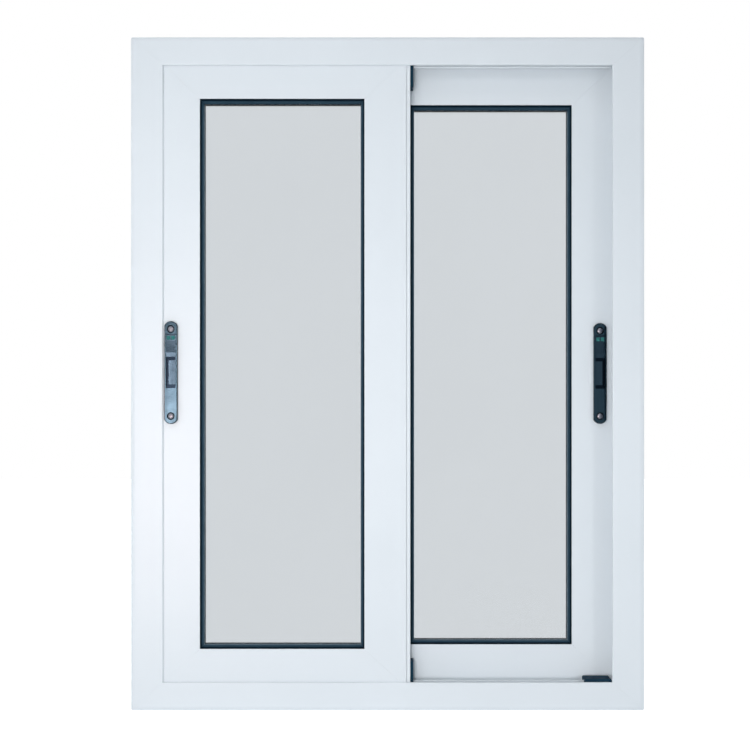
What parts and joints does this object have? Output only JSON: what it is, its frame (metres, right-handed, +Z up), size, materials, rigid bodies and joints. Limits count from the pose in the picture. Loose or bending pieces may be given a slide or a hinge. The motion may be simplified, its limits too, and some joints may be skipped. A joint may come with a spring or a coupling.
{
  "type": "sliding window",
  "caption": "White aluminium horizontal sliding window with overlapping glazed sashes in a mitred track frame, black gaskets and flush latches.",
  "frame": {"origin": "middle of the sill's underside, which rests on the floor", "axes": "+X to the right as seen from the room, +Y from the room to the outside, +Z up"},
  "size_m": [0.915, 0.0945, 1.2],
  "materials": {
    "white_coat": "satin",
    "black_coat": "satin",
    "clear_glass": "polished",
    "black_gasket": "matte",
    "spacer_metal": "satin",
    "black_plastic": "matte",
    "white_nylon": "matte",
    "green_plastic": "gloss"
  },
  "bodies": {
    "root": {"frame_sill": "white_coat", "frame_head": "white_coat", "frame_left_jamb": "white_coat", "frame_right_jamb": "white_coat", "inner_track_stop": "black_plastic", "outer_track_stop": "black_plastic", "left_sash_top_rail": "white_coat", "left_sash_bottom_rail": "white_coat", "left_sash_lock_stile": "white_coat", "left_sash_meeting_stile": "white_coat", "left_sash_interlock": "white_coat", "left_sash_glazing_beads": "white_coat", "left_sash_interlock_caps": "black_plastic", "left_sash_inner_pane": "clear_glass", "left_sash_outer_pane": "clear_glass", "left_sash_spacer": "spacer_metal", "left_sash_inner_gasket": "black_gasket", "left_sash_outer_gasket": "black_gasket", "left_sash_roller_housings": "black_plastic", "left_sash_roller_wheels": "white_nylon", "left_sash_latch_body": "black_coat", "left_sash_latch_pull": "black_coat", "left_sash_latch_slide": "black_coat", "left_sash_latch_mark": "green_plastic", "right_sash_top_rail": "white_coat", "right_sash_bottom_rail": "white_coat", "right_sash_lock_stile": "white_coat", "right_sash_meeting_stile": "white_coat", "right_sash_interlock": "white_coat", "right_sash_glazing_beads": "white_coat", "right_sash_interlock_caps": "black_plastic", "right_sash_inner_pane": "clear_glass", "right_sash_outer_pane": "clear_glass", "right_sash_spacer": "spacer_metal", "right_sash_inner_gasket": "black_gasket", "right_sash_outer_gasket": "black_gasket", "right_sash_roller_housings": "black_plastic", "right_sash_roller_wheels": "white_nylon", "right_sash_latch_body": "black_coat", "right_sash_latch_pull": "black_coat", "right_sash_latch_slide": "black_coat", "right_sash_latch_mark": "green_plastic"}
  },
  "joints": []
}
